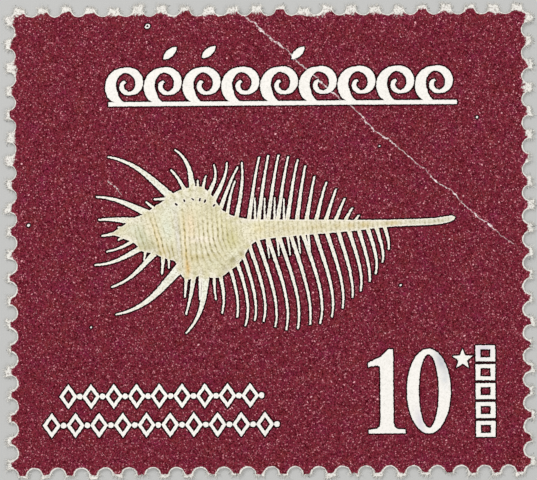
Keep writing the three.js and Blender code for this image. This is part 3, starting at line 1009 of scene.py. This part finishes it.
def sheetMesh(outline, materials):
    spots, faces, inks, rims = frontFace(outline)
    backSpots, backFaces = backFace(outline)
    corners = [(x, y, faceHeight(x, y)) for x, y in spots]
    firstBack = len(corners)
    corners.extend((x, y, undersideHeight(x, y)) for x, y in backSpots)
    allFaces = list(faces)
    slots = [list(materials).index(ink) for ink in inks]
    uvs = [mapOnto(*spots[corner], bakeMap["frontShare"], bakeMap["edge"], bakeMap["edge"])
           for face in faces for corner in face]
    for face in backFaces:
        allFaces.append(tuple(firstBack + corner for corner in reversed(face)))
        slots.append(list(materials).index("gum"))
        uvs.extend(mapOnto(*backSpots[corner], bakeMap["backShare"], bakeMap["edge"], 0.73)
                   for corner in reversed(face))

    # the torn wall between them, with a rough middle row
    frontLoop = edgeLoops(faces)[0]
    backLoop = [firstBack + corner for corner in edgeLoops(backFaces)[0]]
    firstMiddle = len(corners)
    for front, back in zip(frontLoop, backLoop):
        x, y, top = corners[front]
        rough = noise.noise_vector(Vector((x, y, 3)) * 7) * 0.022
        corners.append((x + rough.x, y + rough.y, (top + corners[back][2]) / 2))
    middleLoop = list(range(firstMiddle, len(corners)))
    places = wallMap(frontLoop, spots)
    count = len(frontLoop)
    for upper, lower, high, low in ((frontLoop, middleLoop, 1.0, 0.5), (middleLoop, backLoop, 0.5, 0.0)):
        for i in range(count):
            j = (i + 1) % count
            left, right, bottom, top = places[i]
            rise = top - bottom
            allFaces.append((lower[i], lower[j], upper[j], upper[i]))
            slots.append(list(materials).index("cutPaper"))
            uvs.extend([(left, bottom + rise * low), (right, bottom + rise * low),
                        (right, bottom + rise * high), (left, bottom + rise * high)])

    mesh = bpy.data.meshes.new("printedSheet")
    mesh.from_pydata([Vector(corner) * mm for corner in corners], [], allFaces)
    for material in materials.values():
        mesh.materials.append(material)
    mesh.polygons.foreach_set("material_index", slots)
    mesh.polygons.foreach_set("use_smooth", [True] * len(allFaces))
    mesh.uv_layers.new(name="OFBake").data.foreach_set("uv", [value for uv in uvs for value in uv])

    rims += [0.0] * (len(corners) - len(rims))
    wear = [wearAt(x, y) for x, y, z in corners]
    tints = printTints(spots, faces, inks)
    tints += [[1.0] * 4] * (len(corners) - len(tints))
    mesh.attributes.new("rim", "FLOAT", "POINT").data.foreach_set("value", rims)
    mesh.attributes.new("wear", "FLOAT", "POINT").data.foreach_set("value", wear)
    shades = mesh.attributes.new("printTint", "FLOAT_COLOR", "POINT")
    shades.data.foreach_set("color", [value for tint in tints for value in tint])
    mesh.set_sharp_from_angle(angle=math.radians(45))
    return mesh


paperLook = {
    "bare": srgb(241, 237, 231),
    "bareShade": srgb(214, 212, 204),
    # painted shade: the colour that the torn teeth's hollows are darkened to
    "shadedHollow": srgb(150, 140, 136),
    "bareRough": 0.85,
    "fibreBump": 0.5,
    "bumpDepth": 0.02 * mm,
    "shine": 0.06,
}
groundLook = {
    "shine": 0.02,
    "ink": srgb(133, 44, 61),
    "purple": srgb(138, 38, 80),
    "brown": srgb(136, 56, 50),
    "deep": srgb(62, 2, 10),
    "light": srgb(212, 138, 147),
    "speck": srgb(232, 170, 176),
    "keyline": srgb(24, 5, 8),
    "crack": srgb(252, 240, 238),
}
shellLook = {
    "shade": srgb(138, 128, 82),
    "shadeShare": 0.55,
    "rim": srgb(255, 246, 241),
    "rimShare": 0.4,
    "ribPitch": 0.295,
    "dashPitch": 0.42,
    "ribLight": srgb(250, 242, 222),
    "furrow": srgb(170, 158, 104),
    "dash": srgb(112, 98, 48),
}
gumLook = {
    "light": srgb(236, 231, 214),
    "dark": srgb(222, 214, 190),
    "crackle": srgb(196, 186, 164),
    "rough": 0.32,
    "rippleBump": 0.5,
}
# where the ink or the gum broke: start, end, bow to the left, width, how much of it is broken through
foldCrack = {"start": sheet["foldFrom"], "end": sheet["foldTo"], "bow": -sheet["foldBow"], "width": 0.056, "broken": 0.8}
scratch = {"start": (-10.08, 3.91), "end": (-9.15, 2.84), "bow": 0.05, "width": 0.045, "broken": 0.5}


def mixColour(tree, share, first, second, blendType="MIX"):
    return addNode(tree, "ShaderNodeMix", {0: share, 6: first, 7: second},
                   data_type="RGBA", blend_type=blendType).outputs[2]


def ramp(tree, amount, low, high, first=0.0, last=1.0):
    return addNode(tree, "ShaderNodeMapRange", {
        "Value": amount, "From Min": low, "From Max": high, "To Min": first, "To Max": last},
        interpolation_type="SMOOTHSTEP").outputs["Result"]


def stretched(tree, position, turn, scale):
    turned = addNode(tree, "ShaderNodeMapping", {"Vector": position, "Rotation": (0, 0, turn)}).outputs[0]
    return addNode(tree, "ShaderNodeMapping", {"Vector": turned, "Scale": scale}).outputs[0]


def grainOf(tree, position, scale, detail=2.0, roughness=0.6):
    return addNode(tree, "ShaderNodeTexNoise", {
        "Vector": position, "Scale": scale, "Detail": detail, "Roughness": roughness}).outputs[0]


def fibreGroup():
    tree, given, result = newTree("paperFibres", "ShaderNodeTree", [
        ("Position", "Vector", (0, 0, 0)), ("Scale", "Float", 1.0),
    ], [("Shade", "Float"), ("Height", "Float")])
    place = addNode(tree, "ShaderNodeVectorMath", {0: given["Position"], "Scale": given["Scale"]}, operation="SCALE")
    strands = []
    for turn, scale in ((0.5, (0.9, 8.0, 3.0)), (-0.9, (1.1, 9.0, 3.0)), (1.9, (0.7, 7.0, 3.0))):
        strands.append(grainOf(tree, stretched(tree, place.outputs[0], turn, scale), 1.0, 2.0))
    felted = maths(tree, "MAXIMUM", maths(tree, "MAXIMUM", strands[0], strands[1]), strands[2])
    grain = grainOf(tree, place.outputs[0], 11.0, 2.0)
    height = maths(tree, "ADD", ramp(tree, felted, 0.45, 0.8), maths(tree, "MULTIPLY", grain, 0.5))
    cloud = grainOf(tree, place.outputs[0], 0.9, 3.0)
    shade = maths(tree, "MULTIPLY_ADD", ramp(tree, felted, 0.4, 0.8), 0.6, maths(tree, "MULTIPLY", cloud, 0.4))
    tree.links.new(shade, result["Shade"])
    tree.links.new(height, result["Height"])
    return tree


def mottleGroup():
    tree, given, result = newTree("screenMottle", "ShaderNodeTree", [
        ("Position", "Vector", (0, 0, 0)), ("Fleck Scale", "Float", 13.0), ("Fleck Rarity", "Float", 4.0),
        ("Patch Scale", "Float", 0.7), ("Speck Scale", "Float", 1.6), ("Speck Size", "Float", 0.12),
    ], [("Grain", "Float"), ("Fleck", "Float"), ("Deep", "Float"), ("Patch", "Float"), ("Speck", "Float")])
    grain = grainOf(tree, given["Position"], 7.0, 2.0, 0.75)
    cells = addNode(tree, "ShaderNodeTexVoronoi", {"Vector": given["Position"], "Scale": given["Fleck Scale"]})
    odds = addNode(tree, "ShaderNodeSeparateXYZ", {0: cells.outputs["Color"]}).outputs
    fleck = maths(tree, "POWER", odds["X"], given["Fleck Rarity"])
    patch = grainOf(tree, given["Position"], given["Patch Scale"], 3.0, 0.65)
    specks = []
    for turn, scale in ((0.9, (1.0, 2.4, 1.0)), (-0.6, (1.0, 1.7, 1.0)), (2.2, (1.3, 1.3, 1.0))):
        cells = addNode(tree, "ShaderNodeTexVoronoi", {
            "Vector": stretched(tree, given["Position"], turn, scale), "Scale": given["Speck Scale"]})
        rare = addNode(tree, "ShaderNodeSeparateXYZ", {0: cells.outputs["Color"]}).outputs
        size = maths(tree, "MULTIPLY", given["Speck Size"], maths(tree, "ADD", rare["Y"], 0.4))
        inside = ramp(tree, maths(tree, "SUBTRACT", cells.outputs["Distance"], size), 0.0, -0.06)
        specks.append(maths(tree, "MULTIPLY", inside, ramp(tree, rare["X"], 0.45, 1.0)))
    speck = maths(tree, "MAXIMUM", maths(tree, "MAXIMUM", specks[0], specks[1]), specks[2])
    for name, amount in (("Grain", grain), ("Fleck", fleck), ("Deep", odds["Y"]), ("Patch", patch), ("Speck", speck)):
        tree.links.new(amount, result[name])
    return tree


def tornGroup():
    tree, given, result = newTree("tornRim", "ShaderNodeTree", [
        ("Position", "Vector", (0, 0, 0)), ("Wear", "Float", 1.0), ("Raggedness", "Float", 0.9),
    ], [("Bare", "Float")])
    ragged = maths(tree, "SUBTRACT", grainOf(tree, given["Position"], 5.5, 3.0, 0.7), 0.5)
    level = maths(tree, "MULTIPLY_ADD", ragged, given["Raggedness"], given["Wear"])
    tree.links.new(ramp(tree, level, 0.72, 0.5), result["Bare"])
    return tree


def crackGroup():
    tree, given, result = newTree("inkCrack", "ShaderNodeTree", [
        ("Position", "Vector", (0, 0, 0)), ("Start", "Vector", (0, 0, 0)), ("Angle", "Float", 0.0),
        ("Length", "Float", 1.0), ("Bow", "Float", 0.0), ("Width", "Float", 0.05), ("Broken", "Float", 0.5),
        ("Fade", "Float", 0.5),
    ], [("Mask", "Float"), ("Halo", "Float")])
    reach = addNode(tree, "ShaderNodeVectorMath", {0: given["Position"], 1: given["Start"]}, operation="SUBTRACT")
    turned = addNode(tree, "ShaderNodeVectorRotate", {
        "Vector": reach.outputs[0], "Angle": maths(tree, "MULTIPLY", given["Angle"], -1.0)},
        rotation_type="Z_AXIS").outputs[0]
    place = addNode(tree, "ShaderNodeSeparateXYZ", {0: turned}).outputs
    share = maths(tree, "DIVIDE", place["X"], given["Length"])
    rest = maths(tree, "SUBTRACT", 1.0, share)
    bow = maths(tree, "MULTIPLY", maths(tree, "MULTIPLY", share, rest), maths(tree, "MULTIPLY", given["Bow"], 4.0))
    slow = maths(tree, "SUBTRACT", grainOf(tree, given["Position"], 0.8, 1.0), 0.5)
    quick = maths(tree, "SUBTRACT", grainOf(tree, given["Position"], 4.0, 2.0), 0.5)
    wobble = maths(tree, "MULTIPLY_ADD", slow, 0.55, maths(tree, "MULTIPLY", quick, 0.3))
    across = maths(tree, "SUBTRACT", place["Y"], bow)
    across = maths(tree, "ABSOLUTE", maths(tree, "ADD", wobble, across))
    within = maths(tree, "MULTIPLY", ramp(tree, share, 0.01, 0.02), ramp(tree, share, 0.99, 0.88))
    strength = maths(tree, "SUBTRACT", 1.0, maths(tree, "MULTIPLY", share, given["Fade"]))
    least = maths(tree, "SUBTRACT", 0.62, maths(tree, "MULTIPLY", given["Broken"], 0.25))
    parts = ramp(tree, grainOf(tree, given["Position"], 1.7, 4.0, 0.8), least, 0.66)
    width = maths(tree, "MULTIPLY", maths(tree, "MULTIPLY", given["Width"], strength),
                  maths(tree, "MULTIPLY_ADD", parts, 0.9, 0.6))
    line = ramp(tree, maths(tree, "DIVIDE", across, width), 1.3, 0.5)
    chips = ramp(tree, grainOf(tree, given["Position"], 8.0, 1.0), 0.38, 0.5, 0.3, 1.0)
    shown = maths(tree, "MULTIPLY", within, maths(tree, "MULTIPLY_ADD", parts, 0.55, 0.45))
    tree.links.new(maths(tree, "MULTIPLY", maths(tree, "MULTIPLY", line, chips), shown), result["Mask"])
    halo = ramp(tree, across, 0.3, 0.0)
    tree.links.new(maths(tree, "MULTIPLY", halo, within), result["Halo"])
    return tree


groups = {"fibres": fibreGroup(), "mottle": mottleGroup(), "torn": tornGroup(), "crack": crackGroup()}


def placeGroup(tree, name, values):
    node = tree.nodes.new("ShaderNodeGroup")
    node.node_tree = groups[name]
    for socket, value in values.items():
        if isinstance(value, bpy.types.NodeSocket):
            tree.links.new(value, node.inputs[socket])
        else:
            node.inputs[socket].default_value = value
    return node.outputs


def newMaterial(name, rough, shine=0.5):
    material = bpy.data.materials.new(name)
    material.use_nodes = True
    tree = material.node_tree
    shader = tree.nodes["Principled BSDF"]
    shader.inputs["Roughness"].default_value = rough
    shader.inputs["Specular IOR Level"].default_value = shine
    spot = addNode(tree, "ShaderNodeTexCoord").outputs["Object"]
    position = addNode(tree, "ShaderNodeMapping", {"Vector": spot, "Scale": (1 / mm, 1 / mm, 1 / mm)}).outputs[0]
    return material, tree, shader, position


def named(tree, attribute, output="Fac"):
    return addNode(tree, "ShaderNodeAttribute", attribute_name=attribute).outputs[output]


def cracked(tree, position, flaw, fade=0.5):
    start, end = Vector(flaw["start"]), Vector(flaw["end"])
    run = end - start
    return placeGroup(tree, "crack", {
        "Position": position, "Start": start.to_3d(), "Angle": math.atan2(run.y, run.x), "Length": run.length,
        "Bow": flaw["bow"], "Width": flaw["width"], "Broken": flaw["broken"], "Fade": fade})


def bump(tree, shader, height, strength):
    node = addNode(tree, "ShaderNodeBump", {
        "Height": height, "Strength": strength, "Distance": paperLook["bumpDepth"]})
    tree.links.new(node.outputs[0], shader.inputs["Normal"])


def finishFace(tree, shader, position, ink, inkRough, inkHeight):
    # ink over paper, gone from the torn rim, the fold and the scratch
    fibres = placeGroup(tree, "fibres", {"Position": position, "Scale": 1.0})
    paper = mixColour(tree, fibres["Shade"], paperLook["bareShade"], paperLook["bare"])
    torn = placeGroup(tree, "torn", {"Position": position, "Wear": named(tree, "wear"), "Raggedness": 1.1})["Bare"]
    # painted shade: noisy patches of the torn rim are darkened as if shaded in hollows, and the same patches are sunk
    # in the bump
    shadedHollow = maths(tree, "MULTIPLY", torn, ramp(tree, grainOf(tree, position, 9.0, 2.0, 0.7), 0.5, 0.36, 0.0, 0.75))
    paper = mixColour(tree, shadedHollow, paper, paperLook["shadedHollow"])
    fold = cracked(tree, position, foldCrack)
    nick = cracked(tree, position, scratch, fade=0.2)
    broken = maths(tree, "MAXIMUM", fold["Mask"], nick["Mask"])
    bare = maths(tree, "MAXIMUM", torn, broken)
    printed = mixColour(tree, torn, ink, paper)
    tree.links.new(mixColour(tree, broken, printed, groundLook["crack"]), shader.inputs["Base Color"])
    rough = addNode(tree, "ShaderNodeMix", {0: bare, 2: inkRough, 3: paperLook["bareRough"]}).outputs[0]
    tree.links.new(rough, shader.inputs["Roughness"])
    relief = maths(tree, "MULTIPLY_ADD", inkHeight, 0.6, maths(tree, "SUBTRACT", fibres["Height"], shadedHollow))
    bump(tree, shader, maths(tree, "SUBTRACT", relief, broken), paperLook["fibreBump"])


def groundInk():
    material, tree, shader, position = newMaterial("groundInk", 0.6, groundLook["shine"])
    mottle = placeGroup(tree, "mottle", {
        "Position": position, "Fleck Scale": 17.0, "Fleck Rarity": 18.0, "Patch Scale": 0.9, "Speck Scale": 1.5,
        "Speck Size": 0.11})
    ink = mixColour(tree, ramp(tree, mottle["Patch"], 0.5, 0.75, 0.0, 0.5), groundLook["ink"], groundLook["purple"])
    ink = mixColour(tree, ramp(tree, mottle["Patch"], 0.5, 0.25, 0.0, 0.5), ink, groundLook["brown"])
    ink = mixColour(tree, mottle["Deep"], ink, groundLook["deep"])
    ink = mixColour(tree, mottle["Fleck"], ink, groundLook["light"])
    ink = mixColour(tree, mottle["Speck"], ink, groundLook["speck"])
    ink = mixColour(tree, ramp(tree, named(tree, "rim"), 0.26, 0.54), ink, groundLook["keyline"])
    rough = ramp(tree, mottle["Patch"], 0.2, 0.8, 0.55, 0.7)
    finishFace(tree, shader, position, ink, rough, mottle["Grain"])
    return material


def ribMasks(tree, position):
    # ribs that run round the whorls and fan out below, and the broken dashes in the furrows between them
    place = addNode(tree, "ShaderNodeSeparateXYZ", {0: position}).outputs
    lean = maths(tree, "MULTIPLY", place["Y"], ramp(tree, place["X"], -5.3, -7.0, 0.08, 0.28))
    below = maths(tree, "MAXIMUM", maths(tree, "SUBTRACT", 0.3, place["Y"]), 0.0)
    fan = maths(tree, "MULTIPLY", maths(tree, "POWER", below, 1.6), ramp(tree, place["X"], -5.2, -2.0, 0.0, 0.36))
    waver = maths(tree, "MULTIPLY", grainOf(tree, position, 1.8), 0.2)
    across = maths(tree, "SUBTRACT", maths(tree, "ADD", maths(tree, "ADD", place["X"], lean), waver), fan)
    across = maths(tree, "DIVIDE", across, shellLook["ribPitch"])
    furrow = ramp(tree, maths(tree, "PINGPONG", across, 0.5), 0.2, 0.45)
    shift = addNode(tree, "ShaderNodeTexWhiteNoise", {"W": maths(tree, "FLOOR", across)},
                    noise_dimensions="1D").outputs["Value"]
    along = maths(tree, "ADD", maths(tree, "DIVIDE", place["Y"], shellLook["dashPitch"]), shift)
    dash = ramp(tree, maths(tree, "PINGPONG", along, 0.5), 0.15, 0.38)
    kept = ramp(tree, grainOf(tree, position, 2.6, 2.0, 0.7), 0.38, 0.53)
    return furrow, maths(tree, "MULTIPLY", maths(tree, "MULTIPLY", furrow, dash), kept)


def printedLight(name, shade, share, ribbed):
    # the light parts of the print, coloured corner by corner, with the paper's grain over them
    material, tree, shader, position = newMaterial(name, 0.6, paperLook["shine"])
    mottle = placeGroup(tree, "mottle", {
        "Position": position, "Fleck Scale": 13.0, "Fleck Rarity": 2.2, "Patch Scale": 1.5, "Speck Scale": 2.0,
        "Speck Size": 0.08})
    dulled = maths(tree, "MULTIPLY", mottle["Fleck"], share)
    colour = mixColour(tree, dulled, named(tree, "printTint", "Color"), shade)
    if ribbed:
        strength = named(tree, "printTint", "Alpha")
        furrow, dash = ribMasks(tree, position)
        ridge = maths(tree, "SUBTRACT", 1.0, furrow)
        for mask, most, tint in ((ridge, 0.38, "ribLight"), (furrow, 0.45, "furrow"), (dash, 0.75, "dash")):
            amount = maths(tree, "MULTIPLY", maths(tree, "MULTIPLY", mask, strength), most)
            colour = mixColour(tree, amount, colour, shellLook[tint])
        edge = ramp(tree, named(tree, "rim"), 0.4, 0.85, 0.0, shellLook["rimShare"])
        colour = mixColour(tree, edge, colour, shellLook["rim"])
    finishFace(tree, shader, position, colour, 0.6, mottle["Grain"])
    return material


def gumCoat():
    material, tree, shader, position = newMaterial("gumCoat", gumLook["rough"])
    fibres = placeGroup(tree, "fibres", {"Position": position, "Scale": 0.7})
    ripple = grainOf(tree, stretched(tree, position, 0.0, (0.25, 1.0, 1.0)), 1.6, 2.0)
    colour = mixColour(tree, fibres["Shade"], gumLook["dark"], gumLook["light"])
    fold = cracked(tree, position, foldCrack)
    broken = maths(tree, "MULTIPLY_ADD", fold["Halo"], 0.25, maths(tree, "MULTIPLY", fold["Mask"], 0.6))
    tree.links.new(mixColour(tree, broken, colour, gumLook["crackle"]), shader.inputs["Base Color"])
    torn = placeGroup(tree, "torn", {"Position": position, "Wear": named(tree, "wear"), "Raggedness": 0.9})["Bare"]
    rough = addNode(tree, "ShaderNodeMix", {0: torn, 2: ramp(tree, ripple, 0.3, 0.7, 0.28, 0.42), 3: 0.85}).outputs[0]
    tree.links.new(rough, shader.inputs["Roughness"])
    height = maths(tree, "MULTIPLY_ADD", fibres["Height"], 0.3, maths(tree, "MULTIPLY", ripple, 3.0))
    bump(tree, shader, height, gumLook["rippleBump"])
    return material


def cutPaper():
    material, tree, shader, position = newMaterial("cutPaper", 0.9, paperLook["shine"])
    fibres = placeGroup(tree, "fibres", {"Position": position, "Scale": 2.5})
    colour = mixColour(tree, fibres["Shade"], paperLook["bareShade"], srgb(244, 240, 234))
    tree.links.new(colour, shader.inputs["Base Color"])
    bump(tree, shader, fibres["Height"], 0.5)
    return material


materials = {
    "ground": groundInk(),
    "paper": printedLight("barePaper", paperLook["bareShade"], 0.6, False),
    "shell": printedLight("shellInk", shellLook["shade"], shellLook["shadeShare"], True),
    "gum": gumCoat(),
    "cutPaper": cutPaper(),
}
print("materials", len(materials))

blankOutline = perforatedOutline(materials["ground"])
plateShell()
plateCombs(materials["shell"])
plateOrnaments(materials["paper"])
plateLeaves()
plateValue()
plateMisprints()
print("plates", len(plates))

printedSheet = bpy.data.objects.new("printedSheet", sheetMesh(blankOutline, materials))
bpy.context.scene.collection.objects.link(printedSheet)
print("printed sheet", len(printedSheet.data.vertices), "points")


# torn fibres that stand out of the teeth
fibres = {
    "Per Millimetre": 26.0, "Length": 0.24, "Radius": 0.012, "Spread": 1.0, "Bend": 0.08, "Seed": 21,
    "floor": 0.012, "ceiling": 0.2, "reachBack": 0.3,
}


def toothEdges(outline):
    # the torn edge of every tooth as a chain of points half way up the paper, each knowing which way is out
    spots, outward, edges = [], [], []
    for before, spot, after in zip([outline[-1], *outline], outline, [*outline[1:], outline[0]]):
        if tipDistance(*spot) > fibres["reachBack"]:
            continue
        away = Vector((0, math.copysign(1, spot.y))) if alongTop(*spot) else Vector((math.copysign(1, spot.x), 0))
        away = (away * 0.6 + (before - after).orthogonal().normalized() * 0.7).to_3d()
        if spots and (spots[-1].xy - spot).length < 2.5 * perforation["outlineStep"]:
            edges.append((len(spots) - 1, len(spots)))
        height = (undersideHeight(*spot) + faceHeight(*spot)) / 2
        spots.append(spot.to_3d() + Vector((0, 0, height)))
        outward.append(away)
    mesh = bpy.data.meshes.new("toothEdges")
    mesh.from_pydata(spots, edges, [])
    ways = mesh.attributes.new("outward", "FLOAT_VECTOR", "POINT")
    ways.data.foreach_set("vector", [value for way in outward for value in way])
    return mesh


def fibreTree():
    tree, given, result = newTree("tornFibres", "GeometryNodeTree", [
        ("Teeth", "Geometry", None), ("Per Millimetre", "Float", 10.0), ("Length", "Float", 0.2),
        ("Radius", "Float", 0.01), ("Spread", "Float", 0.6), ("Bend", "Float", 0.05), ("Seed", "Int", 0),
        ("Material", "Material", None),
    ], [("Mesh", "Geometry")])
    chains = addNode(tree, "GeometryNodeMeshToCurve", {"Mesh": given["Teeth"]}).outputs[0]
    gap = maths(tree, "DIVIDE", 1.0, given["Per Millimetre"])
    roots = addNode(tree, "GeometryNodeResampleCurve", {"Curve": chains, "Length": gap}, mode="LENGTH").outputs[0]

    # one straight fibre, stood on each root and tilted at random
    hair = addNode(tree, "GeometryNodeCurvePrimitiveLine", {"End": (0, 0, 1)}).outputs[0]
    hair = addNode(tree, "GeometryNodeResampleCurve", {"Curve": hair, "Count": 5}, mode="COUNT").outputs[0]
    way = addNode(tree, "GeometryNodeInputNamedAttribute", {"Name": "outward"}, data_type="FLOAT_VECTOR").outputs[0]
    spread = addNode(tree, "ShaderNodeCombineXYZ", {
        "X": given["Spread"], "Y": given["Spread"], "Z": maths(tree, "MULTIPLY", given["Spread"], 0.5)}).outputs[0]
    back = addNode(tree, "ShaderNodeVectorMath", {0: spread, "Scale": -1.0}, operation="SCALE").outputs[0]
    tilt = addNode(tree, "FunctionNodeRandomValue", {0: back, 1: spread, "Seed": given["Seed"]},
                   data_type="FLOAT_VECTOR").outputs[0]
    aim = addNode(tree, "ShaderNodeVectorMath", {0: way, 1: tilt}, operation="ADD").outputs[0]
    turn = addNode(tree, "FunctionNodeAlignRotationToVector", {"Vector": aim}, axis="Z").outputs[0]
    length = addNode(tree, "FunctionNodeRandomValue", {2: 0.35, 3: 1.0, "Seed": given["Seed"]}, data_type="FLOAT")
    length = maths(tree, "MULTIPLY", length.outputs[1], given["Length"])
    hairs = addNode(tree, "GeometryNodeInstanceOnPoints", {
        "Points": roots, "Instance": hair, "Rotation": turn, "Scale": length}).outputs[0]
    hairs = addNode(tree, "GeometryNodeRealizeInstances", {"Geometry": hairs}).outputs[0]

    # bent more towards the tip, then given its thickness
    along = addNode(tree, "GeometryNodeSplineParameter").outputs["Factor"]
    curl = addNode(tree, "ShaderNodeTexNoise", {"Scale": 4.0, "Detail": 1.0}).outputs["Color"]
    curl = addNode(tree, "ShaderNodeVectorMath", {0: curl, 1: (0.5, 0.5, 0.5)}, operation="SUBTRACT").outputs[0]
    amount = maths(tree, "MULTIPLY", maths(tree, "MULTIPLY", along, along), maths(tree, "MULTIPLY", given["Bend"], 4.0))
    curl = addNode(tree, "ShaderNodeVectorMath", {0: curl, "Scale": amount}, operation="SCALE").outputs[0]
    hairs = addNode(tree, "GeometryNodeSetPosition", {"Geometry": hairs, "Offset": curl}).outputs[0]
    section = addNode(tree, "GeometryNodeCurvePrimitiveCircle", {"Resolution": 3, "Radius": given["Radius"]})
    solid = addNode(tree, "GeometryNodeCurveToMesh", {
        "Curve": hairs, "Profile Curve": section.outputs[0], "Fill Caps": True}).outputs[0]
    whole = addNode(tree, "GeometryNodeRealizeInstances", {"Geometry": solid}).outputs[0]
    inked = addNode(tree, "GeometryNodeSetMaterial", {"Geometry": whole, "Material": given["Material"]})
    tree.links.new(inked.outputs[0], result[0])
    return tree


def fibreMesh():
    values = {name: amount for name, amount in fibres.items() if name[0].isupper()}
    values["Material"] = materials["cutPaper"]
    mesh = meshFromTree("tornFibres", fibreTree(), values, toothEdges(blankOutline))
    for corner in mesh.vertices:
        corner.co.z = min(max(corner.co.z, fibres["floor"]), fibres["ceiling"])
    mesh.transform(Matrix.Scale(mm, 4))
    return mesh


tornFibres = bpy.data.objects.new("tornFibres", fibreMesh())
bpy.context.scene.collection.objects.link(tornFibres)
print("torn fibres", len(tornFibres.data.polygons), "faces")

studio = {
    "floorReach": 0.9,
    "floorDrop": 0.01 * mm,
    "floorColour": srgb(186, 186, 184),
    "worldColour": srgb(238, 238, 238),
    "worldStrength": 0.78,
    # place in metres, side in metres, watts
    "key": ((-0.14, 0.2, 0.17), 0.12, 0.5),
    "fill": ((0.22, -0.12, 0.24), 0.2, 0.3),
}


def floorMaterial():
    material, tree, shader, position = newMaterial("paleFloor", 0.75)
    cloud = grainOf(tree, position, 0.02, 2.0)
    shade = [value * 0.96 for value in studio["floorColour"]]
    tree.links.new(mixColour(tree, cloud, shade, studio["floorColour"]), shader.inputs["Base Color"])
    return material


def studioFloor():
    reach = studio["floorReach"]
    drop = studio["floorDrop"]
    mesh = bpy.data.meshes.new("studioFloor")
    mesh.from_pydata([(-reach, -reach, -drop), (reach, -reach, -drop), (reach, reach, -drop), (-reach, reach, -drop)],
                     [], [(0, 1, 2, 3)])
    mesh.materials.append(floorMaterial())
    floor = bpy.data.objects.new("studioFloor", mesh)
    bpy.context.scene.collection.objects.link(floor)


def softLight(name, place, side, watts):
    light = bpy.data.lights.new(name, "AREA")
    light.size = side
    light.energy = watts
    holder = bpy.data.objects.new(name, light)
    holder.location = place
    holder.rotation_euler = Vector(place).to_track_quat("Z", "Y").to_euler()
    holder.visible_camera = False
    bpy.context.scene.collection.objects.link(holder)


def studioWorld():
    world = bpy.data.worlds.new("studioWorld")
    world.use_nodes = True
    background = world.node_tree.nodes["Background"]
    background.inputs["Color"].default_value = studio["worldColour"]
    background.inputs["Strength"].default_value = studio["worldStrength"]
    bpy.context.scene.world = world


studioFloor()
softLight("keyLight", *studio["key"])
softLight("fillLight", *studio["fill"])
studioWorld()

view = {
    "frameWidth": 33.56,  # millimetres of the stamp's plane that the frame takes in
    "lens": 100.0,
    "sensor": 36.0,
    "middle": (-0.075, 0.081),
    "roll": -0.42,
}


def scannerCamera():
    data = bpy.data.cameras.new("camera")
    data.lens = view["lens"]
    data.sensor_width = view["sensor"]
    data.clip_start = 0.005
    data.clip_end = 10.0
    camera = bpy.data.objects.new("camera", data)
    distance = view["frameWidth"] * view["lens"] / view["sensor"] + perforation["thickness"]
    camera.location = Vector((*view["middle"], distance)) * mm
    camera.rotation_euler = (0.0, 0.0, math.radians(view["roll"]))
    bpy.context.scene.collection.objects.link(camera)
    bpy.context.scene.camera = camera


scannerCamera()
bpy.context.scene.view_settings.view_transform = "Standard"

for piece in (printedSheet, tornFibres):
    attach(piece, "root")
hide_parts("stamp")
